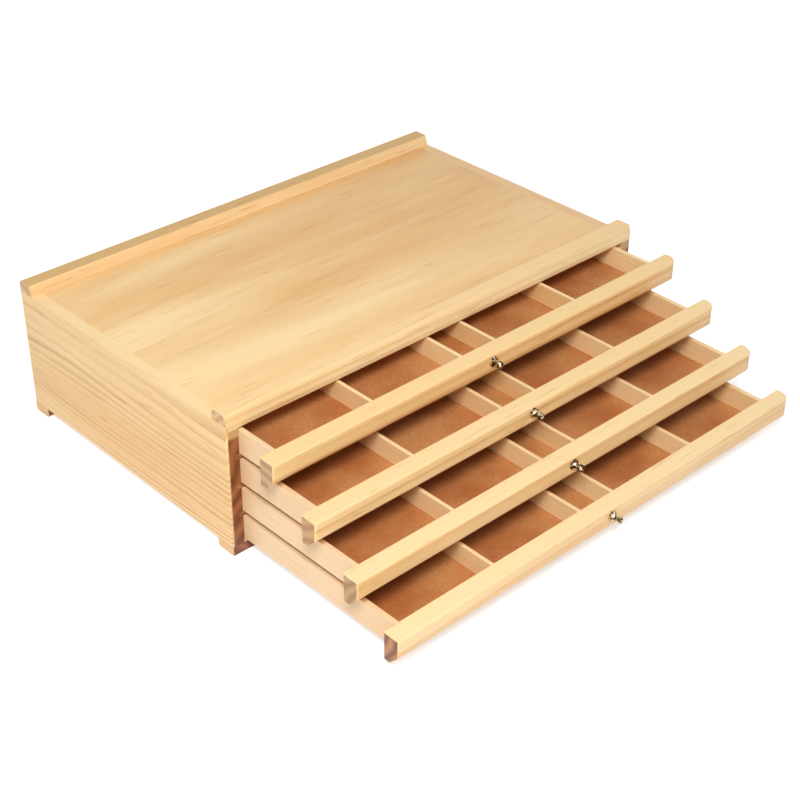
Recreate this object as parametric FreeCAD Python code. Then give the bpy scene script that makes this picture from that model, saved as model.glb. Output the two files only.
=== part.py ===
# Small pine drawer box: an open case with four shallow drawers, each divided into five
# compartments.  +X is to the right, the drawers open towards -Y, +Z is up, and the sizes
# are in millimetres.  The drawers are drawn pulled out in steps, the top one least.
import FreeCAD, Part
import os

Vector = FreeCAD.Vector

# ---------------------------------------------------------------- case
case_width = 400.0           # over the outer faces of the side panels
case_depth = 246.0           # from the panels' front edges to their back edges
panel_thickness = 9.4
panel_front_ease = 2.0       # rounding of the outer front edge of a side panel
panel_top_ease = 1.0         # rounding of the outer top and back edges
top_thickness = 4.5          # top board, let in between the side panels
floor_thickness = 3.0        # bottom board of the case
back_thickness = 4.0         # back panel, let in between the side panels
foot_height = 7.8
foot_depth = 17.0            # along Y
foot_width = 22.0            # along X
foot_ease = 2.6              # rounding of a foot's lower edges along X
front_foot_ease = 0.8        # the same, on the edge under the case's front

# ---------------------------------------------------------------- rails on the top board
rail_height = 8.2
rail_base = 15.5             # along Y, where the rail meets the board
rail_outer_lean = 2.1        # the front rail's outer face leans in by this much
rail_inner_lean = 1.1        # its inner face leans by this much
rail_nose = 2.4              # rounding of its upper outer edge
rail_ease = 1.0              # rounding of both rails' upper inner edges
rail_end_inset = 0.3         # each rail end stands back from the panel's outer face
lip_drop = 3.9               # the front rail's lip hangs this far over the top board's edge
lip_thickness = 4.0
lip_ease = 0.7               # rounding of the lip's lower front edge
lip_cover = 1.2              # skin of the side panel left outside each end of the lip
lip_slack = 0.1              # between an end of the lip and that skin
back_rail_outer_lean = 0.4   # the back rail's outer face is nearly upright
back_rail_inner_lean = 2.4
back_rail_nose = 1.2

# ---------------------------------------------------------------- drawers
drawer_count = 4
drawer_height = 18.6         # over the sides, which reach down past the bottom board
drawer_headroom = 0.8        # over drawer 1, under the top board
space_behind = 3.5           # between a closed drawer and the back panel
left_clearance = 0.5         # between a drawer and the left side panel
right_clearance = 6.9        # the drawers are loose, and stand to the left
side_thickness = 3.8
end_thickness = 4.0          # back board of a drawer
divider_thickness = 3.0
tray_thickness = 3.0         # bottom board of a drawer, let in between its sides
edge_ease = 0.5              # rounding of thin board edges
middle_compartment = 30.2    # clear width of the narrow one; the four others share the rest

# ---------------------------------------------------------------- drawer fronts
front_thickness = 14.0
front_gap = 2.3              # between one closed front and the next
front_face = 12.9            # height of the upright part of the face
finger_depth = 7.9           # the lower part slopes back by this much for the fingers
front_overrun = 3.3          # the right end stands this far past the case
front_top_ease = 1.4
front_knee_ease = 3.0
front_toe_ease = 2.3
front_heel_ease = 1.4
left_front_corner = 1.6      # plan roundings of the four corners
left_back_corner = 2.0
right_back_corner = 2.0
right_front_corner = 11.5
closing_gap = 0.5            # between the back of a closed front and the case

# ---------------------------------------------------------------- how far each drawer is out
pull_1 = 47.0                # face of the front to the case's front
pull_2 = 87.0
pull_3 = 126.0
pull_4 = 163.0

# ---------------------------------------------------------------- runners
runner_height = 3.6
runner_groove_depth = 3.0    # let into the side panel
runner_margin = 0.5          # a runner reaches this far past the side that it carries
runner_clearance = 0.2       # under the drawer
runner_headroom = 0.9        # between a runner and the drawer below it
runner_seat = 0.05           # slack in the groove above and below

# ---------------------------------------------------------------- knobs and their screws
knob_drop = 5.4              # knob's middle below the top of the front
knob_offset = -1.9           # the knobs stand this far left of the case's middle
flange_radius = 4.0
flange_thickness = 1.1
flange_ease = 0.5            # rounding of the flange's rim
neck_foot_radius = 2.9       # the neck flares towards the flange
neck_waist_radius = 1.6
neck_waist_place = 0.55      # the waist's place along the neck, from 0 to 1
neck_top_radius = 1.5
ball_radius = 2.75
knob_length = 8.9            # from the front's face to the tip of the ball
screw_radius = 1.0
screw_bite = 4.0             # length of the screw inside the knob
screw_clearance = 0.15       # radial, in the front
screw_fit = 0.02             # radial, in the knob
screw_head_radius = 2.6
screw_head_height = 1.5

# ---------------------------------------------------------------- derived positions
half_width = case_width / 2
drawer_pitch = drawer_height + runner_clearance + runner_height + runner_headroom
front_height = drawer_pitch - front_gap
first_drawer_top = top_thickness + drawer_headroom
stack_height = (drawer_count - 1) * drawer_pitch + drawer_height
panel_height = first_drawer_top + stack_height + runner_clearance + floor_thickness
drawer_length = case_depth - back_thickness - space_behind - closing_gap
case_top = foot_height + panel_height
case_bottom = foot_height
front_end_x = half_width + front_overrun
left_end_x = -half_width
middle_x = (left_end_x + front_end_x) / 2
nearest_y = -pull_4 - knob_length
middle_y = (nearest_y + case_depth) / 2
case_place = Vector(-middle_x, -middle_y, 0)
pulls = [pull_1, pull_2, pull_3, pull_4]
left_outer_x = -half_width + panel_thickness + left_clearance
right_outer_x = half_width - panel_thickness - right_clearance
left_inner_x = left_outer_x + side_thickness
right_inner_x = right_outer_x - side_thickness
drawer_middle_x = (left_inner_x + right_inner_x) / 2
wide_room = right_inner_x - left_inner_x - middle_compartment - 4 * divider_thickness
inner_divider = (middle_compartment + divider_thickness) / 2
outer_divider = inner_divider + divider_thickness + wide_room / 4
divider_places = [-outer_divider, -inner_divider, inner_divider, outer_divider]
runner_reach = right_clearance + side_thickness + runner_margin


def drawer_top(number):
    """Height of a drawer's top edge; drawer 1 is the top one."""
    return case_top - first_drawer_top - (number - 1) * drawer_pitch


def box(x0, x1, y0, y1, z0, z1):
    """A board between two corners."""
    return Part.makeBox(x1 - x0, y1 - y0, z1 - z0, Vector(x0, y0, z0))


def polygon_face(points):
    """A flat face inside a closed run of points."""
    return Part.Face(Part.makePolygon(points + [points[0]]))


def near(value, target):
    """True when two lengths are the same to a thousandth."""
    return abs(value - target) < 0.001


def edges_where(shape, test):
    """The edges of a shape whose box passes a test."""
    return [edge for edge in shape.Edges if test(edge.BoundBox)]


def ease(shape, radius, test):
    """Round the edges that pass a test."""
    return shape.makeFillet(radius, edges_where(shape, test))


def mirrored(shape):
    """The same piece on the other side of the case's middle."""
    return shape.mirror(Vector(0, 0, 0), Vector(1, 0, 0))


def save(shape, name):
    """Move a piece into the part's frame and write it."""
    placed = shape.copy()
    placed.translate(case_place)
    placed.exportStep("parts/" + name + ".step")


# ---------------------------------------------------------------- side panels
def side_panel():
    """Left side panel: eased outer edges, a notch for the front rail's lip that leaves a
    skin outside it, and grooves for the runners that stop at the back panel."""
    inner_x = -half_width + panel_thickness
    panel = box(-half_width, inner_x, 0, case_depth, case_bottom, case_top)

    def outer_front(bounds):
        upright = near(bounds.ZLength, panel_height)
        return upright and near(bounds.XMin, -half_width) and near(bounds.YMin, 0)

    def outer_back(bounds):
        upright = near(bounds.ZLength, panel_height)
        return upright and near(bounds.XMin, -half_width) and near(bounds.YMin, case_depth)

    panel = ease(panel, panel_front_ease, outer_front)
    panel = ease(panel, panel_top_ease, outer_back)
    notch_x = -half_width + lip_cover
    notch = box(notch_x, inner_x, 0, lip_thickness, case_top - lip_drop, case_top)
    panel = panel.cut(notch)
    for number in range(1, drawer_count):
        top = runner_top(number) + runner_seat
        foot = top - runner_height - 2 * runner_seat
        depth = case_depth - back_thickness
        groove = box(inner_x - runner_groove_depth, inner_x, 0, depth, foot, top)
        panel = panel.cut(groove)
    return panel


def runner_top(number):
    """Top of the runners that carry a drawer."""
    return drawer_top(number) - drawer_height - runner_clearance


def runner_set():
    """The three strips let into the left side panel, one under each upper drawer."""
    inner_x = -half_width + panel_thickness
    strips = []
    for number in range(1, drawer_count):
        top = runner_top(number)
        left = inner_x - runner_groove_depth
        right = inner_x + runner_reach
        strip = box(left, right, 0, case_depth - back_thickness, top - runner_height, top)

        def lower_inner(bounds):
            along = near(bounds.YLength, case_depth - back_thickness)
            return along and near(bounds.XMin, right) and near(bounds.ZMin, top - runner_height)

        strips.append(ease(strip, edge_ease, lower_inner))
    return Part.makeCompound(strips)


# ---------------------------------------------------------------- boards of the case
def top_board():
    """Top board, between the side panels and behind the front rail's lip."""
    reach = half_width - panel_thickness
    return box(-reach, reach, lip_thickness, case_depth, case_top - top_thickness, case_top)


def bottom_board():
    """Bottom board of the case; the lowest drawer slides on it."""
    reach = half_width - panel_thickness
    depth = case_depth - back_thickness
    return box(-reach, reach, 0, depth, case_bottom, case_bottom + floor_thickness)


def back_panel():
    """Back panel, between the side panels and under the top board."""
    reach = half_width - panel_thickness
    near_y = case_depth - back_thickness
    return box(-reach, reach, near_y, case_depth, case_bottom, case_top - top_thickness)


# ---------------------------------------------------------------- rails
def rail_bar(points, nose_y, nose, ease_y):
    """A rail with its two upper edges rounded, from its outline seen from the side."""
    length = case_width - 2 * rail_end_inset
    bar = polygon_face(points).extrude(Vector(length, 0, 0))
    rail_top = case_top + rail_height

    def upper_outer(bounds):
        along = near(bounds.XLength, length)
        return along and near(bounds.ZMin, rail_top) and near(bounds.YMin, nose_y)

    def upper_inner(bounds):
        along = near(bounds.XLength, length)
        return along and near(bounds.ZMin, rail_top) and near(bounds.YMin, ease_y)

    bar = ease(bar, nose, upper_outer)
    return ease(bar, rail_ease, upper_inner)


def front_rail():
    """Front rail with a lip that covers the top board's front edge and ends in the
    notches of the side panels."""
    start = -half_width + rail_end_inset
    rail_top = case_top + rail_height
    lip_foot = case_top - lip_drop
    points = [
        Vector(start, 0, lip_foot),
        Vector(start, 0, case_top),
        Vector(start, rail_outer_lean, rail_top),
        Vector(start, rail_base - rail_inner_lean, rail_top),
        Vector(start, rail_base, case_top),
        Vector(start, lip_thickness, case_top),
        Vector(start, lip_thickness, lip_foot),
    ]
    bar = rail_bar(points, rail_outer_lean, rail_nose, rail_base - rail_inner_lean)

    def lip_front(bounds):
        along = bounds.XLength > case_width / 2
        return along and near(bounds.ZMax, lip_foot) and near(bounds.YMax, 0)

    bar = ease(bar, lip_ease, lip_front)
    lip_end = -half_width + lip_cover + lip_slack
    cut_back = box(-half_width, lip_end, 0, lip_thickness, lip_foot, case_top)
    return bar.cut(cut_back).cut(mirrored(cut_back))


def back_rail():
    """Back rail, flush with the back of the case."""
    start = -half_width + rail_end_inset
    rail_top = case_top + rail_height
    nose_y = case_depth - back_rail_outer_lean
    ease_y = case_depth - rail_base + back_rail_inner_lean
    points = [
        Vector(start, case_depth, case_top),
        Vector(start, nose_y, rail_top),
        Vector(start, ease_y, rail_top),
        Vector(start, case_depth - rail_base, case_top),
    ]
    return rail_bar(points, nose_y, back_rail_nose, ease_y)


# ---------------------------------------------------------------- feet
def foot(near_y, near_ease):
    """A foot under the left side panel, rounded along its two lower long edges."""
    right = -half_width + foot_width
    far_y = near_y + foot_depth
    block = box(-half_width, right, near_y, far_y, 0, foot_height)

    def lower_near(bounds):
        return near(bounds.ZMax, 0) and near(bounds.YMax, near_y)

    def lower_far(bounds):
        return near(bounds.ZMax, 0) and near(bounds.YMin, far_y)

    block = ease(block, near_ease, lower_near)
    return ease(block, foot_ease, lower_far)


# ---------------------------------------------------------------- drawer fronts
def rounded_plan(x0, x1, y0, y1, foot_z, height):
    """A block seen from above: each upright edge has its own rounding."""
    block = box(x0, x1, y0, y1, foot_z, foot_z + height)
    corners = [
        (x0, y0, left_front_corner),
        (x0, y1, left_back_corner),
        (x1, y1, right_back_corner),
        (x1, y0, right_front_corner),
    ]
    for corner_x, corner_y, radius in corners:

        def corner_edge(bounds):
            upright = near(bounds.ZLength, height)
            return upright and near(bounds.XMin, corner_x) and near(bounds.YMin, corner_y)

        block = ease(block, radius, corner_edge)
    return block


def front_profile(start_x, face_y, top_z, length):
    """The front's moulding: upright face, slope for the fingers, flat underside."""
    back_y = face_y + front_thickness
    foot_z = top_z - front_height
    points = [
        Vector(start_x, face_y, top_z),
        Vector(start_x, face_y, top_z - front_face),
        Vector(start_x, face_y + finger_depth, foot_z),
        Vector(start_x, back_y, foot_z),
        Vector(start_x, back_y, top_z),
    ]
    bar = polygon_face(points).extrude(Vector(length, 0, 0))
    roundings = [
        (face_y, top_z, front_top_ease),
        (face_y, top_z - front_face, front_knee_ease),
        (face_y + finger_depth, foot_z, front_toe_ease),
        (back_y, foot_z, front_heel_ease),
    ]
    for edge_y, edge_z, radius in roundings:

        def long_edge(bounds):
            along = near(bounds.XLength, length)
            return along and near(bounds.YMin, edge_y) and near(bounds.ZMin, edge_z)

        bar = ease(bar, radius, long_edge)
    return bar


def drawer_front(number):
    """A moulded front with its right end rounded over, bored for the knob's screw."""
    face_y = -pulls[number - 1]
    back_y = face_y + front_thickness
    top_z = drawer_top(number)
    length = front_end_x - left_end_x
    bar = front_profile(left_end_x, face_y, top_z, length)
    foot_z = top_z - front_height
    plan = rounded_plan(left_end_x, front_end_x, face_y, back_y, foot_z, front_height)
    bore = Part.makeCylinder(
        screw_radius + screw_clearance,
        front_thickness,
        Vector(knob_offset, face_y, top_z - knob_drop),
        Vector(0, 1, 0),
    )
    return bar.common(plan).cut(bore)


# ---------------------------------------------------------------- drawer boxes
def drawer_side(number, left_x):
    """A side of a drawer, from the front to the end of the bottom board."""
    near_y = -pulls[number - 1] + front_thickness
    far_y = near_y + drawer_length
    top_z = drawer_top(number)
    foot_z = top_z - drawer_height
    board = box(left_x, left_x + side_thickness, near_y, far_y, foot_z, top_z)

    def far_top(bounds):
        across = near(bounds.XLength, side_thickness)
        return across and near(bounds.ZMin, top_z) and near(bounds.YMin, far_y)

    return ease(board, edge_ease, far_top)


def drawer_back(number):
    """Back board of a drawer, between its sides and on its bottom board."""
    far_y = -pulls[number - 1] + front_thickness + drawer_length
    top_z = drawer_top(number)
    foot_z = top_z - drawer_height + tray_thickness
    return box(left_inner_x, right_inner_x, far_y - end_thickness, far_y, foot_z, top_z)


def drawer_bottom(number):
    """Bottom board of a drawer, between its sides, under its back and dividers."""
    near_y = -pulls[number - 1] + front_thickness
    far_y = near_y + drawer_length
    foot_z = drawer_top(number) - drawer_height
    return box(left_inner_x, right_inner_x, near_y, far_y, foot_z, foot_z + tray_thickness)


def drawer_divider(number, place):
    """A divider from the front to the back board, level with the sides."""
    near_y = -pulls[number - 1] + front_thickness
    far_y = near_y + drawer_length - end_thickness
    top_z = drawer_top(number)
    foot_z = top_z - drawer_height + tray_thickness
    left_x = drawer_middle_x + place - divider_thickness / 2
    return box(left_x, left_x + divider_thickness, near_y, far_y, foot_z, top_z)


# ---------------------------------------------------------------- knobs
def knob_stem(place, ball_middle):
    """A flange and a neck that narrows in a curve, turned about the knob's axis."""
    neck_length = ball_middle - flange_thickness
    waist_along = flange_thickness + neck_length * neck_waist_place
    waist = place + Vector(neck_waist_radius, -waist_along, 0)
    foot_of_axis = place
    rim_back = place + Vector(flange_radius, 0, 0)
    rim_front = place + Vector(flange_radius, -flange_thickness, 0)
    neck_foot = place + Vector(neck_foot_radius, -flange_thickness, 0)
    neck_top = place + Vector(neck_top_radius, -ball_middle, 0)
    end_of_axis = place + Vector(0, -ball_middle, 0)
    outline = [
        Part.makeLine(foot_of_axis, rim_back),
        Part.makeLine(rim_back, rim_front),
        Part.makeLine(rim_front, neck_foot),
        Part.Arc(neck_foot, waist, neck_top).toShape(),
        Part.makeLine(neck_top, end_of_axis),
        Part.makeLine(end_of_axis, foot_of_axis),
    ]
    stem = Part.Face(Part.Wire(outline)).revolve(place, Vector(0, 1, 0), 360)

    def front_rim(bounds):
        wide = near(bounds.XLength, 2 * flange_radius)
        return wide and near(bounds.YMax, place.y - flange_thickness)

    return ease(stem, flange_ease, front_rim)


def knob(number):
    """A small turned knob: a flange, a flared neck and a ball, bored for its screw."""
    place = Vector(knob_offset, -pulls[number - 1], drawer_top(number) - knob_drop)
    ball_middle = knob_length - ball_radius
    body = knob_stem(place, ball_middle)
    ball = Part.makeSphere(ball_radius, place + Vector(0, -ball_middle, 0))
    bore = Part.makeCylinder(
        screw_radius + screw_fit,
        screw_bite + screw_clearance,
        place,
        Vector(0, -1, 0),
    )
    return body.fuse(ball).removeSplitter().cut(bore)


def knob_screw(number):
    """The screw that holds a knob, put in from inside the drawer."""
    top_z = drawer_top(number)
    face_y = -pulls[number - 1]
    back_y = face_y + front_thickness
    place = Vector(knob_offset, back_y, top_z - knob_drop)
    shank = Part.makeCylinder(
        screw_radius,
        front_thickness + screw_bite,
        place,
        Vector(0, -1, 0),
    )
    head = Part.makeCylinder(screw_head_radius, screw_head_height, place, Vector(0, 1, 0))

    def outer_rim(bounds):
        wide = near(bounds.XLength, 2 * screw_head_radius)
        return wide and near(bounds.YMin, back_y + screw_head_height)

    head = ease(head, screw_head_height / 2, outer_rim)
    return shank.fuse(head).removeSplitter()


# ---------------------------------------------------------------- write every piece
os.makedirs("parts", exist_ok=True)

left_panel = side_panel()
save(left_panel, "side_panel_left")
save(mirrored(left_panel), "side_panel_right")
left_runners = runner_set()
save(left_runners, "runners_left")
save(mirrored(left_runners), "runners_right")
save(top_board(), "top_board")
save(bottom_board(), "bottom_board")
save(back_panel(), "back_panel")
save(front_rail(), "front_rail")
save(back_rail(), "back_rail")
front_foot = foot(0, front_foot_ease)
rear_foot = foot(case_depth - foot_depth, foot_ease)
save(front_foot, "foot_front_left")
save(mirrored(front_foot), "foot_front_right")
save(rear_foot, "foot_back_left")
save(mirrored(rear_foot), "foot_back_right")

for number in range(1, drawer_count + 1):
    tail = "_" + str(number)
    save(drawer_front(number), "front" + tail)
    save(drawer_side(number, left_outer_x), "side_left" + tail)
    save(drawer_side(number, right_inner_x), "side_right" + tail)
    save(drawer_back(number), "back" + tail)
    save(drawer_bottom(number), "tray" + tail)
    for count, place in enumerate(divider_places, 1):
        save(drawer_divider(number, place), "divider" + tail + "_" + str(count))
    save(knob(number), "knob" + tail)
    save(knob_screw(number), "knob_screw" + tail)
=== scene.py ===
import math
import bmesh
import bpy
from mathutils import Matrix, Vector

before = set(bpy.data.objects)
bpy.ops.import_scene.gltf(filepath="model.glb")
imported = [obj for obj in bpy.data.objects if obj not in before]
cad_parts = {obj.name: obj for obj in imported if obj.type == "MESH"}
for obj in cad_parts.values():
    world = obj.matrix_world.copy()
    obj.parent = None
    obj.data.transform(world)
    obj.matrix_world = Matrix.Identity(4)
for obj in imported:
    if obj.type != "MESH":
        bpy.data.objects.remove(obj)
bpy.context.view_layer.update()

# ------------------------------------------------------------------ side panels
# Each side of the case is one plank of clear-lacquered pine with its grain running from
# front to back.  It is planed, grooved for the runners and glued to the other boards, and
# its sawn end grain drinks the lacquer and turns brown.
MM = 0.001
AXES = {"X": 0, "Y": 1, "Z": 2}
PLANK_EASE = 0.3 * MM        # planed edges are hardly broken
WELD_REACH = 0.005 * MM      # joins the loose triangles of a carried-over mesh
SHARP_FROM = 35              # degrees; shallower edges are already rounded
EASE_SEGMENTS = 2

PLANK_LIGHT = "F8D396"       # early wood, between the rings
PLANK_RING = "C08840"        # late wood, the dark line that closes each ring
PLANK_TOP = "F8D69E"         # the planed upper edge, level with the top board
PLANK_END = ("693210", "985A2E")
PLANK_PALE_FROM = 96 * MM

# Growth rings.  They are pale early wood that darkens to a line and then starts afresh.
WAVE_SCALE = math.pi / 10    # the scale at which a Wave texture's rings lie 1 m apart
EARLY_SHARE = 0.4            # how much of a ring stays pale
LATE_PEAK = 0.92             # where in a ring the dark line lies
RING_STRETCH = 0.16          # the waviness of a ring is drawn out along the grain
BAND_WIDTH = 16 * MM         # rings stand out in some bands and fade in others
BAND_FADED, BAND_BOLD = 0.4, 0.62    # noise levels of a faded band and of a bold one
FADED_RINGS = 0.15           # what a faded band keeps of its rings

# Fine streaks.  A fibre of pine is 0.03 mm wide, far too fine to show in a render of the
# whole box, so its bundles are drawn as coarse as they need to be to streak the faces.
FIBRE_WIDTH = 0.8 * MM
FIBRE_STRETCH = 0.03         # how far a bundle is drawn out along the grain
FIBRE_TONE = "C89C68"
FIBRE_LEVELS = (0.3, 0.6)    # noise levels from full tone to none, as in the next two

# Short dark resin dashes, scattered along the grain.
DASH_WIDTH = 2.8 * MM
DASH_STRETCH = 0.08
DASH_TONE = "D39C60"
DASH_LEVELS = (0.74, 0.6)
TOP_DASHES = 0.3             # how strong they are on an upper edge

# Slow changes of tone over a board, and painted shade that darkens it towards the back
# right, away from the lamp.
CLOUD_SIZE = 60 * MM
CLOUD_TONE = "E8C898"
CLOUD_LEVELS = (0.34, 0.6)
FALLOFF_TINT = "DDB88C"
FALLOFF_WAY = (0.6, 0.8, 0.0)     # to the back right
FALLOFF_REACH = 0.3           # metres from the middle to the full tint

# Sawn ends, where the open pores drank the lacquer and turned brown; above a given height
# they are drawn paler.
END_UPPER_TONE = "C49C68"
UPPER_FADE = 2.5 * MM
END_FROM, END_FULL = 0.75, 0.95      # how far a face looks along the grain
UPWARD_FROM, UPWARD_FULL = 0.7, 0.95     # how far a face looks up

# Satin lacquer: a thin clear coat over a soft sheen, which follows the grain a little.
LACQUER_ROUGHNESS = 0.42
LACQUER_IOR = 1.5
LACQUER_COAT = 0.12
COAT_ROUGHNESS = 0.25
PORE_DEPTH = 0.05 * MM       # relief left by the grain under the lacquer
PORE_STRENGTH = 0.4

BLEND = {"data_type": "RGBA"}
TINT = {"data_type": "RGBA", "blend_type": "MULTIPLY"}


def linear(code):
    """An sRGB hex colour as the linear values that Blender's sockets take."""
    parts = [int(code[place:place + 2], 16) / 255 for place in (0, 2, 4)]
    curved = [p / 12.92 if p <= 0.04045 else ((p + 0.055) / 1.055) ** 2.4 for p in parts]
    return (*curved, 1.0)


def new_material(name):
    """An empty node material and its tree."""
    material = bpy.data.materials.new(name)
    material.use_nodes = True
    material.node_tree.nodes.clear()
    return material, material.node_tree


def add(tree, kind, settings=None, **links):
    """Add a node: settings fill its properties, sockets or colour stops, and links feed
    its sockets."""
    made = tree.nodes.new(kind)
    for key, value in (settings or {}).items():
        if key == "stops":
            band = made.color_ramp.elements
            while len(band) < len(value):
                band.new(0.5)
            for element, (place, code) in zip(band, sorted(value)):
                element.position = place
                element.color = linear(code)
        elif hasattr(made, key):
            setattr(made, key, value)
        else:
            made.inputs[int(key) if key.isdigit() else key].default_value = value
    for key, source in links.items():
        socket = int(key[1:]) if key[1:].isdigit() else key.replace("_", " ")
        tree.links.new(source, made.inputs[socket])
    return made


def toward_white(levels, tone):
    """Colour stops from a tone to plain white, which leaves what it multiplies as it is."""
    return {"stops": list(zip(levels, (tone, "FFFFFF")))}


def drawn_out(grain, stretch):
    """The scale that draws a pattern out along the grain."""
    scale = [1.0, 1.0, 1.0]
    scale[AXES[grain]] = stretch
    return scale


def pine(name, grain, pith, pitch, light, ring, end, tilt=3.0, rings=0.8, streak=0.12,
         dashes=0.4, cloud=0.5, top=None, pale_from=1.0, end_pitch=9.0, waver=6.0,
         painted_falloff=0.0):
    """Lacquered pine cut from a log whose heart runs along the grain axis through the
    point pith, in mm, with one ring every pitch mm.  The rings show as long flames on
    the faces.  A sawn end has the two colours of end in wavy bands end_pitch mm wide, and
    is drawn pale above the height pale_from, in metres.  Upward faces take the colour
    top, and painted_falloff paints shade that darkens the back right."""
    material, tree = new_material(name)
    place = add(tree, "ShaderNodeTexCoord")
    turn = [0.0, 0.0, 0.0]
    turn[(AXES[grain] + 1) % 3] = math.radians(tilt)
    log = add(tree, "ShaderNodeMapping", {
        "Location": [-c * MM for c in pith], "Rotation": turn,
        "Scale": drawn_out(grain, RING_STRETCH)}, Vector=place.outputs["Object"])
    growth = add(tree, "ShaderNodeTexWave", {
        "wave_type": "RINGS", "rings_direction": grain, "wave_profile": "SAW",
        "Scale": WAVE_SCALE / (pitch * MM), "Distortion": waver, "Detail": 2.0,
        "Detail Scale": 0.3, "Detail Roughness": 0.4}, Vector=log.outputs["Vector"])
    along = add(tree, "ShaderNodeMapping", {
        "Scale": drawn_out(grain, FIBRE_STRETCH), "Location": [c * MM for c in pith]},
        Vector=place.outputs["Object"])
    fibre = add(tree, "ShaderNodeTexNoise", {
        "Scale": 1 / FIBRE_WIDTH, "Detail": 3.0, "Roughness": 0.6},
        Vector=along.outputs["Vector"])
    dash_place = add(tree, "ShaderNodeMapping", {
        "Scale": drawn_out(grain, DASH_STRETCH), "Location": [c * MM for c in pith]},
        Vector=place.outputs["Object"])
    dash = add(tree, "ShaderNodeTexNoise", {
        "Scale": 1 / DASH_WIDTH, "Detail": 2.0, "Roughness": 0.55},
        Vector=dash_place.outputs["Vector"])
    drift = add(tree, "ShaderNodeTexNoise", {
        "Scale": 1 / CLOUD_SIZE, "Detail": 3.0, "Roughness": 0.5},
        Vector=log.outputs["Vector"])

    # The planed face: rings, faded in some bands, then fibres, dashes, clouds and painted
    # shade.
    ring_tone = add(tree, "ShaderNodeValToRGB", {
        "stops": [(0.0, light), (EARLY_SHARE, light), (LATE_PEAK, ring), (1.0, light)]},
        Fac=growth.outputs["Color"])
    bands = add(tree, "ShaderNodeTexNoise", {"Scale": 1 / BAND_WIDTH, "Detail": 2.0},
                Vector=along.outputs["Vector"])
    boldness = add(tree, "ShaderNodeMapRange", {
        "From Min": BAND_FADED, "From Max": BAND_BOLD, "To Min": FADED_RINGS * rings,
        "To Max": rings}, Value=bands.outputs["Fac"])
    base = add(tree, "ShaderNodeMix", {**BLEND, "6": linear(light)},
               i0=boldness.outputs[0], i7=ring_tone.outputs["Color"])
    streaks = add(tree, "ShaderNodeValToRGB", toward_white(FIBRE_LEVELS, FIBRE_TONE),
                  Fac=fibre.outputs["Fac"])
    fibrous = add(tree, "ShaderNodeMix", {**TINT, "0": streak},
                  i6=base.outputs[2], i7=streaks.outputs["Color"])
    resin = add(tree, "ShaderNodeValToRGB", toward_white(DASH_LEVELS, DASH_TONE),
                Fac=dash.outputs["Fac"])
    dashed = add(tree, "ShaderNodeMix", {**TINT, "0": dashes},
                 i6=fibrous.outputs[2], i7=resin.outputs["Color"])
    shade = add(tree, "ShaderNodeValToRGB", toward_white(CLOUD_LEVELS, CLOUD_TONE),
                Fac=drift.outputs["Fac"])
    toned = add(tree, "ShaderNodeMix", {**TINT, "0": cloud},
                i6=dashed.outputs[2], i7=shade.outputs["Color"])
    across = add(tree, "ShaderNodeVectorMath", {
        "operation": "DOT_PRODUCT", "1": FALLOFF_WAY}, i0=place.outputs["Object"])
    falloff_share = add(tree, "ShaderNodeMapRange", {
        "From Min": 0.0, "From Max": FALLOFF_REACH, "To Max": painted_falloff},
        Value=across.outputs["Value"])
    face_colour = add(tree, "ShaderNodeMix", {**TINT, "7": linear(FALLOFF_TINT)},
                      i0=falloff_share.outputs[0], i6=toned.outputs[2])

    # An upper edge is planed across the rings, so it shows one tone and a few dashes.
    facing = add(tree, "ShaderNodeSeparateXYZ", Vector=place.outputs["Normal"])
    if top:
        upward = add(tree, "ShaderNodeMapRange", {
            "From Min": UPWARD_FROM, "From Max": UPWARD_FULL}, Value=facing.outputs["Z"])
        planed = add(tree, "ShaderNodeMix", {**TINT, "0": TOP_DASHES, "6": linear(top)},
                     i7=resin.outputs["Color"])
        face_colour = add(tree, "ShaderNodeMix", BLEND, i0=upward.outputs[0],
                          i6=face_colour.outputs[2], i7=planed.outputs[2])

    # The sawn end: wavy brown bands, paler above the height pale_from.
    along_grain = add(tree, "ShaderNodeMath", {"operation": "ABSOLUTE"},
                      i0=facing.outputs[AXES[grain]])
    end_growth = add(tree, "ShaderNodeTexWave", {
        "wave_type": "RINGS", "rings_direction": grain, "wave_profile": "SIN",
        "Scale": WAVE_SCALE / (end_pitch * MM), "Distortion": 5.0, "Detail": 2.0,
        "Detail Scale": 0.9, "Detail Roughness": 0.5}, Vector=log.outputs["Vector"])
    on_end = add(tree, "ShaderNodeMapRange", {
        "From Min": END_FROM, "From Max": END_FULL}, Value=along_grain.outputs[0])
    end_rings = add(tree, "ShaderNodeValToRGB", {
        "stops": [(0.0, end[0]), (1.0, end[1])]}, Fac=end_growth.outputs["Color"])
    height = add(tree, "ShaderNodeSeparateXYZ", Vector=place.outputs["Object"])
    pale = add(tree, "ShaderNodeMapRange", {
        "From Min": pale_from - UPPER_FADE, "From Max": pale_from}, Value=height.outputs["Z"])
    end_colour = add(tree, "ShaderNodeMix", {**BLEND, "7": linear(END_UPPER_TONE)},
                     i0=pale.outputs[0], i6=end_rings.outputs["Color"])

    colour = add(tree, "ShaderNodeMix", BLEND, i0=on_end.outputs[0],
                 i6=face_colour.outputs[2], i7=end_colour.outputs[2])
    relief = add(tree, "ShaderNodeBump", {"Strength": PORE_STRENGTH, "Distance": PORE_DEPTH},
                 Height=fibre.outputs["Fac"])
    skin = add(tree, "ShaderNodeBsdfPrincipled", {
        "Roughness": LACQUER_ROUGHNESS, "IOR": LACQUER_IOR, "Coat Weight": LACQUER_COAT,
        "Coat Roughness": COAT_ROUGHNESS}, Base_Color=colour.outputs[2],
        Normal=relief.outputs["Normal"])
    add(tree, "ShaderNodeOutputMaterial", Surface=skin.outputs["BSDF"])
    return material


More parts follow.
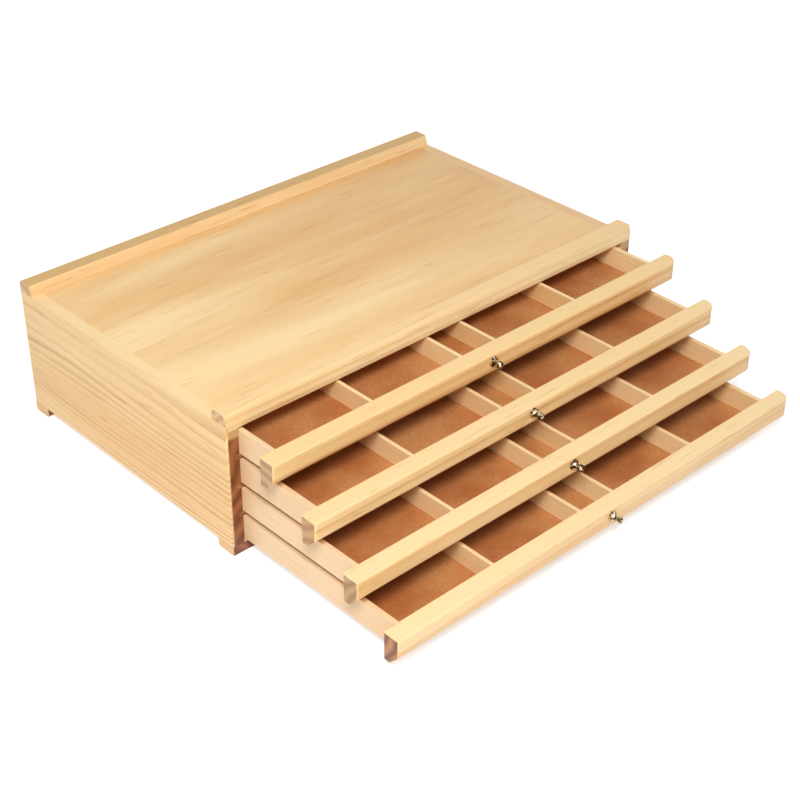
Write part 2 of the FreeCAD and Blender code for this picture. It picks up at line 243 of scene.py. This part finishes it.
def dress(material, *names, ease=0.0):
    """Give carried-over pieces their finish, with their sharp edges worn round by ease."""
    for name in names:
        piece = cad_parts[name]
        piece.data.materials.clear()
        piece.data.materials.append(material)
        if ease:
            weld = piece.modifiers.new("joined_faces", "WELD")
            weld.merge_threshold = WELD_REACH
            worn = piece.modifiers.new("worn_edges", "BEVEL")
            worn.width = ease
            worn.segments = EASE_SEGMENTS
            worn.limit_method = "ANGLE"
            worn.angle_limit = math.radians(SHARP_FROM)
            worn.harden_normals = True


# Flat-sawn pine: close, slightly wavy lines along the side, bold in some bands.
dress(pine("pine_plank_left", "Y", (-278, 0, 112), 3.4, PLANK_LIGHT, PLANK_RING, PLANK_END,
           tilt=2.5, rings=0.9, cloud=0.45, top=PLANK_TOP, pale_from=PLANK_PALE_FROM,
           end_pitch=13.0, waver=8.0),
      "side_panel_left", ease=PLANK_EASE)
# The same pine from another log: fainter lines, and lighter brown bands on its end.
dress(pine("pine_plank_right", "Y", (262, 0, 20), 3.0, PLANK_LIGHT, PLANK_RING,
           ("8A5A2C", "B4824C"), tilt=-3.0, rings=0.6, cloud=0.45, top="EBC08A",
           pale_from=PLANK_PALE_FROM, end_pitch=11.0, waver=8.0),
      "side_panel_right", ease=PLANK_EASE)

# ------------------------------------------------------------------ bottom and back
# A thin bottom board and a back panel close the case between the side panels.  They are
# plainer pine, a shade greyer than the planks, with their grain from side to side.
BACK_LIGHT = "EFCB96"
BACK_RING = "D6A467"
dress(pine("pine_floor_board", "X", (0, 40, -90), 4.0, BACK_LIGHT, BACK_RING, PLANK_END),
      "bottom_board")
dress(pine("pine_back_board", "X", (0, 300, 40), 4.0, BACK_LIGHT, BACK_RING, PLANK_END),
      "back_panel")

# ------------------------------------------------------------------ runners
# Planed pine strips glued into the grooves of the side panels, darker than the case in
# their shade.  The drawers slide on them, and their sawn front ends are brown.
dress(pine("planed_strip", "Y", (0, 0, 300), 3.0, "D9AE78", "C08E58", ("8A4E26", "B4773F"),
           end_pitch=5.0), "runners_left", "runners_right")

# ------------------------------------------------------------------ top board
# The top is a wide glued-up pine board, planed flat and lacquered on the face.  Its grain
# runs from side to side, with broad pale flames and short darker dashes.
# Its face has painted shade, darker towards the back right, away from the lamp.
dress(pine("pine_top_board", "X", (0, 40, -30), 6.5, "FBDBA2", "E8C086", PLANK_END,
           tilt=2.5, rings=0.35, streak=0.05, dashes=0.28, cloud=0.8, waver=9.0, painted_falloff=0.55),
      "top_board")

# ------------------------------------------------------------------ rails
# Moulded pine strips glued along the front and back of the top board.  They are straight
# in the grain and paler than the board, and the front one's lip hides the board's edge.
RAIL_END = ("C49660", "DDB684")
RAIL_EASE = 0.4 * MM
# The upper faces of both rails are painted darker than their fronts: painted shade, as the
# lamp in front lights the fronts more.
dress(pine("pine_front_moulding", "X", (0, -70, 60), 5.0, "FEE2AE", "E9BC7A", RAIL_END,
           tilt=0.3, rings=0.8, top="F4CE94", end_pitch=7.0, waver=1.5),
      "front_rail", ease=RAIL_EASE)
dress(pine("pine_back_moulding", "X", (0, 230, 60), 5.0, "FDE0AF", "EAC591", RAIL_END,
           tilt=0.5, rings=0.7, top="D4AA66", end_pitch=7.0, waver=3.0),
      "back_rail", ease=RAIL_EASE)

# ------------------------------------------------------------------ feet
# Four sawn pine blocks glued under the side panels, with their grain the same way.  They
# are a little duller than the planks above them.
FOOT_LIGHT = "E8C08A"
FOOT_RING = "CB9A62"
FOOT_EASE = 0.5 * MM
dress(pine("pine_block", "Y", (-230, 0, -30), 3.2, FOOT_LIGHT, FOOT_RING, PLANK_END),
      "foot_front_left", "foot_back_left", ease=FOOT_EASE)
dress(pine("pine_block_right", "Y", (230, 0, -30), 3.2, FOOT_LIGHT, FOOT_RING, PLANK_END),
      "foot_front_right", "foot_back_right", ease=FOOT_EASE)

# ------------------------------------------------------------------ drawer boxes
# Each drawer is a tray of thin pine boards with eased edges: two sides, a back and four
# dividers, glued round a loose-fitting bottom of brown hardboard.
DRAWERS = (1, 2, 3, 4)
DIVIDERS = (1, 2, 3, 4)
BOARD_EASE = 0.45 * MM       # worn edge of a thin board
THIN_LIGHT = "F1CFA4"
THIN_RING = "E0B686"
THIN_END = ("B98A58", "CDA070")
THIN_PITH = (0, 0, -340)
THIN_PITCH = 5.0
THIN_GRAIN = {"rings": 0.25, "streak": 0.06, "dashes": 0.15}     # thin stock is plain

TRAY_EASE = 0.6 * MM         # the hardboard's rounded edge leaves a dark line round it
BOARD_FIBRE = 1.8 * MM       # clumps of fibres, drawn coarser than real so that they show
BOARD_TONES = ("BC7946", "CE965F")
BOARD_LEVELS = (0.3, 0.7)
MOTTLE_SIZE = 45 * MM        # where the oil that hardens the face sank in deeper
MOTTLE_TONE = "DCB092"
MOTTLE_LEVELS = (0.36, 0.62)
MOTTLE_SHARE = 0.7
PRESS_DEPTH = 0.04 * MM
PRESS_STRENGTH = 0.3
BOARD_ROUGHNESS = 0.5


def hardboard():
    """Smooth-faced brown hardboard: fine pressed fibres with a soft mottled sheen."""
    material, tree = new_material("brown_hardboard")
    place = add(tree, "ShaderNodeTexCoord")
    fibre = add(tree, "ShaderNodeTexNoise", {
        "Scale": 1 / BOARD_FIBRE, "Detail": 4.0, "Roughness": 0.7},
        Vector=place.outputs["Object"])
    drift = add(tree, "ShaderNodeTexNoise", {
        "Scale": 1 / MOTTLE_SIZE, "Detail": 3.0}, Vector=place.outputs["Object"])
    tone = add(tree, "ShaderNodeValToRGB", {
        "stops": list(zip(BOARD_LEVELS, BOARD_TONES))}, Fac=fibre.outputs["Fac"])
    shade = add(tree, "ShaderNodeValToRGB", toward_white(MOTTLE_LEVELS, MOTTLE_TONE),
                Fac=drift.outputs["Fac"])
    colour = add(tree, "ShaderNodeMix", {**TINT, "0": MOTTLE_SHARE},
                 i6=tone.outputs["Color"], i7=shade.outputs["Color"])
    relief = add(tree, "ShaderNodeBump", {
        "Strength": PRESS_STRENGTH, "Distance": PRESS_DEPTH}, Height=fibre.outputs["Fac"])
    skin = add(tree, "ShaderNodeBsdfPrincipled", {"Roughness": BOARD_ROUGHNESS},
               Base_Color=colour.outputs[2], Normal=relief.outputs["Normal"])
    add(tree, "ShaderNodeOutputMaterial", Surface=skin.outputs["BSDF"])
    return material


# The thin pine shows almost no figure.  The dividers are the yellower stock, and the outer
# boards are pinker.
divider_pine = pine("pine_divider", "Y", THIN_PITH, THIN_PITCH, "F7D9A6", "E8C08A",
                    THIN_END, top="F5D5A4", **THIN_GRAIN)
side_pine = pine("pine_drawer_side", "Y", THIN_PITH, THIN_PITCH, THIN_LIGHT, THIN_RING,
                 THIN_END, **THIN_GRAIN)
back_pine = pine("pine_drawer_back", "X", THIN_PITH, THIN_PITCH, THIN_LIGHT, THIN_RING,
                 THIN_END, **THIN_GRAIN)
tray_board = hardboard()
for number in DRAWERS:
    dress(side_pine, f"side_left_{number}", ease=BOARD_EASE)
    dress(divider_pine, f"side_right_{number}",
          *[f"divider_{number}_{place}" for place in DIVIDERS], ease=BOARD_EASE)
    dress(back_pine, f"back_{number}", ease=BOARD_EASE)
    dress(tray_board, f"tray_{number}", ease=TRAY_EASE)

# ------------------------------------------------------------------ drawer fronts
# Solid pine mouldings, planed to a profile that slopes back under the face for the
# fingers.  Long straight flames run along them, and each was cut from a different length,
# so tones and ends differ.  The left end is sawn square and the right end rounded over.
FRONT_EASE = 0.4 * MM
FRONT_SPACING = 90           # mm between the hearts of two lengths
FRONTS = {                   # face, ring, upper edge, sawn end, depth of the heart in mm
    1: ("F5CE92", "D69F5C", "F5D194", ("A87850", "CAA274"), 46),
    2: ("F9D69E", "DFAC6C", "F8D79E", ("A87444", "C49A64"), 60),
    3: ("F9D69E", "DFAC6C", "FADBA4", ("9C7040", "BE9660"), 52),
    4: ("FAD9A4", "E2B278", "FADCA6", ("743E1C", "B87C4C"), 40),
}
for number, (face, face_ring, upper_edge, sawn_end, depth) in FRONTS.items():
    dress(pine(f"pine_front_{number}", "X", (0, -FRONT_SPACING * number, -depth), 7.5,
               face, face_ring, sawn_end, tilt=0.6, rings=0.75, streak=0.1,
               top=upper_edge, end_pitch=8.0, waver=3.5),
          f"front_{number}", ease=FRONT_EASE)

# ------------------------------------------------------------------ knobs and screws
# Small turned knobs of nickel-plated brass with a bright polish, each held by a
# zinc-plated screw from inside the drawer.
TARNISH_AND_GLINT_SIZE = 2.2 * MM         # patches of tarnish, on the nickel also painted reflections
TARNISH_AND_GLINT_LEVELS = (0.42, 0.56)   # noise levels from the bright tone to the dull one
POLISH_BETTER = 0.05         # how much smoother the clean patches are
POLISH_WORSE = 0.08


def plated(name, bright, dull, roughness):
    """Plated metal with patches over its polish: tarnish, and on the nickel painted
    reflections, warm bright and near-black.
    """
    material, tree = new_material(name)
    place = add(tree, "ShaderNodeTexCoord")
    tarnish_and_glints = add(tree, "ShaderNodeTexNoise", {"Scale": 1 / TARNISH_AND_GLINT_SIZE, "Detail": 2.0},
               Vector=place.outputs["Object"])
    polish = add(tree, "ShaderNodeMapRange", {
        "To Min": roughness - POLISH_BETTER, "To Max": roughness + POLISH_WORSE},
        Value=tarnish_and_glints.outputs["Fac"])
    patch_tone = add(tree, "ShaderNodeValToRGB", {
        "stops": list(zip(TARNISH_AND_GLINT_LEVELS, (bright, dull)))}, Fac=tarnish_and_glints.outputs["Fac"])
    skin = add(tree, "ShaderNodeBsdfPrincipled", {"Metallic": 1.0},
               Base_Color=patch_tone.outputs["Color"], Roughness=polish.outputs[0])
    add(tree, "ShaderNodeOutputMaterial", Surface=skin.outputs["BSDF"])
    return material


# Nickel has painted reflections, warm bright and near-black patches, besides the real glints
# and the dark lines from the card; zinc is a dull grey.
nickel = plated("nickel_plated_brass", "E4CEA8", "4A3620", 0.08)
zinc = plated("zinc_plated_steel", "B4B4B0", "8E8E8C", 0.4)
for number in DRAWERS:
    dress(nickel, f"knob_{number}")
    dress(zinc, f"knob_screw_{number}")

# ------------------------------------------------------------------ table and light
# The box stands on a white table in a light tent: one soft lamp high at the front left and
# an even white surround.  A strip of black card, curved round the front right, shows only
# in the polished metal and gives it its dark lines.
FLOOR_HALF = 6.0
FLOOR_COLOUR = (0.86, 0.86, 0.85, 1)
FLOOR_LIFT = 0.56            # brings the lit table up to white and keeps the shadow
TENT_LEVEL = 0.4             # how strongly the surround lights things; it looks plain white
WHITE = (1, 1, 1, 1)


def stand(name, shape):
    """Turn a bmesh into an object of the surroundings."""
    data = bpy.data.meshes.new(name)
    shape.to_mesh(data)
    shape.free()
    thing = bpy.data.objects.new(name, data)
    bpy.context.scene.collection.objects.link(thing)
    return thing


def looked_at(tree):
    """1 where the camera, a mirror or clear glass looks, and 0 for light falling on
    things."""
    rays = add(tree, "ShaderNodeLightPath")
    mirrored = add(tree, "ShaderNodeMath", {"operation": "MAXIMUM"},
                   i0=rays.outputs["Is Camera Ray"], i1=rays.outputs["Is Glossy Ray"])
    seen = add(tree, "ShaderNodeMath", {"operation": "MAXIMUM"},
               i0=mirrored.outputs[0], i1=rays.outputs["Is Transmission Ray"])
    return seen.outputs[0]


floor_mesh = bmesh.new()
bmesh.ops.create_grid(floor_mesh, x_segments=1, y_segments=1, size=FLOOR_HALF)
table = stand("table_top", floor_mesh)
# Matt white laminate: it takes the shadow and shows no gloss.
floor_material, floor_tree = new_material("white_table")
matt = add(floor_tree, "ShaderNodeBsdfDiffuse", {"Color": FLOOR_COLOUR})
lifted = add(floor_tree, "ShaderNodeMath", {"operation": "MULTIPLY", "1": FLOOR_LIFT},
             i0=looked_at(floor_tree))
glow = add(floor_tree, "ShaderNodeEmission", {"Color": WHITE}, Strength=lifted.outputs[0])
both = add(floor_tree, "ShaderNodeAddShader", i0=matt.outputs[0], i1=glow.outputs[0])
add(floor_tree, "ShaderNodeOutputMaterial", Surface=both.outputs[0])
table.data.materials.append(floor_material)

CARD_REACH = 1.3             # metres from the box, as are the floor and the lamp
CARD_HEIGHT = 0.55
CARD_START = 0.1             # of its reach, right of the middle
CARD_SWEEP = 80              # degrees
CARD_STEPS = 16
card_mesh = bmesh.new()
lower = card_mesh.verts.new((CARD_START * CARD_REACH, -CARD_REACH, 0.0))
upper = card_mesh.verts.new((CARD_START * CARD_REACH, -CARD_REACH, CARD_HEIGHT))
card_edge = card_mesh.edges.new((lower, upper))
bmesh.ops.spin(card_mesh, geom=[lower, upper, card_edge], cent=(0, 0, 0), axis=(0, 0, 1),
               angle=math.radians(CARD_SWEEP), steps=CARD_STEPS)
card = stand("black_card", card_mesh)
card.visible_camera = False
card.visible_diffuse = False
card.visible_shadow = False
# Matt black paper, with a warm tint painted in for the light the wood throws on it.
card_material, card_tree = new_material("black_paper")
paper = add(card_tree, "ShaderNodeBsdfDiffuse", {"Color": linear("30261C")})
add(card_tree, "ShaderNodeOutputMaterial", Surface=paper.outputs[0])
card.data.materials.append(card_material)

world = bpy.data.worlds.new("light_tent")
bpy.context.scene.world = world
world.use_nodes = True
world.node_tree.nodes.clear()
level = add(world.node_tree, "ShaderNodeMapRange", {"To Min": TENT_LEVEL, "To Max": 1.0},
            Value=looked_at(world.node_tree))
tent = add(world.node_tree, "ShaderNodeBackground", {"Color": WHITE},
           Strength=level.outputs[0])
add(world.node_tree, "ShaderNodeOutputWorld", Surface=tent.outputs[0])

LAMP_SIZE = 0.5
LAMP_POWER = 21.0            # watts, which light pale wood as it is written
LAMP_PLACE = (-0.80, -0.77, 1.28)
lamp_data = bpy.data.lights.new("soft_box", "AREA")
lamp_data.shape = "SQUARE"
lamp_data.size = LAMP_SIZE
lamp_data.energy = LAMP_POWER
lamp = bpy.data.objects.new("soft_box", lamp_data)
lamp.location = LAMP_PLACE
lamp.rotation_euler = (-lamp.location).to_track_quat("-Z", "Y").to_euler()
bpy.context.scene.collection.objects.link(lamp)

# ------------------------------------------------------------------ camera
# The box is seen from the front left and above, where all four open drawers show their
# trays.
TARGET = Vector((-44.14, -32.16, 54.8)) * MM
DISTANCE = 1149.2 * MM
AZIMUTH = -43.092            # degrees, as the next two
ELEVATION = 33.238
ROLL = 0.288
SENSOR_WIDTH = 36.0          # mm, as the next
LENS = 72.14
lens = bpy.data.cameras.new("camera")
lens.lens = LENS
lens.sensor_width = SENSOR_WIDTH
camera = bpy.data.objects.new("camera", lens)
turned = (Matrix.Rotation(math.radians(AZIMUTH), 4, "Z")
          @ Matrix.Rotation(math.radians(90 - ELEVATION), 4, "X")
          @ Matrix.Rotation(math.radians(ROLL), 4, "Z"))
looking = turned @ Vector((0, 0, -1))
camera.matrix_world = Matrix.Translation(TARGET - looking * DISTANCE) @ turned
bpy.context.scene.collection.objects.link(camera)
bpy.context.scene.camera = camera
bpy.context.scene.view_settings.view_transform = "Standard"
